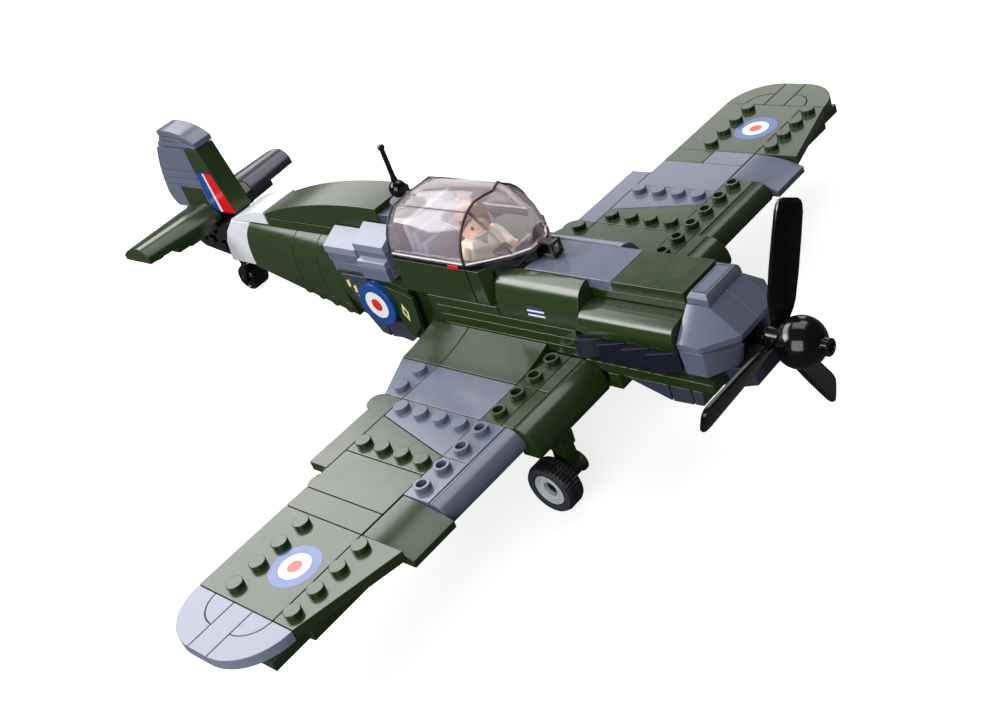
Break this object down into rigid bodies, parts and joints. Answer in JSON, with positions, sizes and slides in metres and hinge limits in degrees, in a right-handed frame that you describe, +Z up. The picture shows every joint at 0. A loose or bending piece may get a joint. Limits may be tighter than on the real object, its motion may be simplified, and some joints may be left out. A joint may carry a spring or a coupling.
{
  "type": "brick-built propeller plane model",
  "caption": "Toy low-wing propeller plane built from studded plates and curved slopes, with a hinged clear canopy, turning propeller, rolling wheels and a seated pilot.",
  "frame": {"origin": "on the surface the model stands on, under the middle of its bounding box", "axes": "+X to the nose, +Y to the left wing tip, +Z up; the model stands on its three wheels, so the fuselage is pitched 5.4 degrees nose-up"},
  "size_m": [0.2782, 0.2876, 0.0779],
  "materials": {
    "olive_plastic": "moulded dark olive green plastic, glossy",
    "grey_plastic": "moulded blue-grey plastic, glossy",
    "navy_plastic": "very dark blue-grey moulded plastic",
    "black_plastic": "glossy black moulded plastic",
    "white_plastic": "glossy white moulded plastic",
    "clear_plastic": "clear smoke-tinted moulded plastic",
    "cream_plastic": "cream figure plastic with printed jacket",
    "hair_plastic": "brown figure hair over a plain printed face",
    "rim_plastic": "pale silver-grey moulded plastic",
    "tyre_rubber": "black moulded rubber with fine tread grooves"
  },
  "bodies": {
    "airframe": {"wing_spar": "olive_plastic", "root_fairing_l": "olive_plastic", "root_fairing_r": "olive_plastic", "wing_inner_l": "olive_plastic", "leading_edge_inner_l": "olive_plastic", "leading_edge_inner_r": "olive_plastic", "leading_edge_outer_l": "olive_plastic", "wing_mid_r": "olive_plastic", "wing_slope_r": "olive_plastic", "wing_panel_l": "olive_plastic", "wing_panel_r": "olive_plastic", "wing_tip_l": "olive_plastic", "fuselage_front": "olive_plastic", "keel": "olive_plastic", "belly": "olive_plastic", "deck_front": "olive_plastic", "side_panel_l": "olive_plastic", "side_panel_r": "olive_plastic", "side_wall_l": "olive_plastic", "side_wall_r": "olive_plastic", "fuselage_rear": "olive_plastic", "rear_side_l": "olive_plastic", "rear_side_r": "olive_plastic", "mark_panel_l": "olive_plastic", "mark_panel_r": "olive_plastic", "spine": "olive_plastic", "fin": "olive_plastic", "stabiliser_r": "olive_plastic", "gear_leg_l": "olive_plastic", "gear_leg_r": "olive_plastic", "wing_inner_r": "grey_plastic", "leading_edge_outer_r": "grey_plastic", "wing_mid_l": "grey_plastic", "wing_slope_l": "grey_plastic", "wing_tip_r": "grey_plastic", "chin": "grey_plastic", "cowl": "grey_plastic", "deck_rear": "grey_plastic", "rear_steps_l": "grey_plastic", "rear_steps_r": "grey_plastic", "rudder": "grey_plastic", "stabiliser_l": "grey_plastic", "antenna_base": "grey_plastic", "cockpit_interior": "grey_plastic", "exhaust_l": "navy_plastic", "exhaust_r": "navy_plastic", "canopy_rim": "black_plastic", "tail_block": "black_plastic", "tail_band": "white_plastic", "pilot_body": "cream_plastic"},
    "propeller": {"propeller": "black_plastic", "spinner": "black_plastic"},
    "wheel_l": {"wheel_rim_l": "rim_plastic", "tyre_l": "tyre_rubber"},
    "wheel_r": {"wheel_rim_r": "rim_plastic", "tyre_r": "tyre_rubber"},
    "tail_wheel": {"tail_wheel": "black_plastic"},
    "canopy": {"canopy": "clear_plastic"},
    "antenna": {"antenna": "black_plastic"},
    "pilot_head": {"pilot_head": "hair_plastic"}
  },
  "joints": [
    {"name": "propeller_spin", "type": "hinge", "parent": "airframe", "child": "propeller", "pos_m": [0.12361, 0, 0.04174], "axis": [0.9955, 0, 0.0949], "continuous": true},
    {"name": "wheel_spin_l", "type": "hinge", "parent": "airframe", "child": "wheel_l", "pos_m": [0.07379, 0.04344, 0.00798], "axis": [0, 1, 0], "continuous": true},
    {"name": "wheel_spin_r", "type": "hinge", "parent": "airframe", "child": "wheel_r", "pos_m": [0.07379, -0.04344, 0.00798], "axis": [0, 1, 0], "continuous": true},
    {"name": "tail_wheel_spin", "type": "hinge", "parent": "airframe", "child": "tail_wheel", "pos_m": [-0.11158, 0, 0.00518], "axis": [0, 1, 0], "continuous": true},
    {"name": "canopy_hinge", "type": "hinge", "parent": "airframe", "child": "canopy", "pos_m": [0.05294, 0, 0.05638], "axis": [0, 1, 0], "range_deg": [0, 60]},
    {"name": "antenna_tilt", "type": "hinge", "parent": "airframe", "child": "antenna", "pos_m": [-0.00793, 0, 0.06263], "axis": [0, 1, 0], "range_deg": [-40, 40]},
    {"name": "pilot_head_turn", "type": "hinge", "parent": "airframe", "child": "pilot_head", "pos_m": [0.02182, 0, 0.05405], "axis": [-0.0949, 0, 0.9955], "continuous": true}
  ]
}
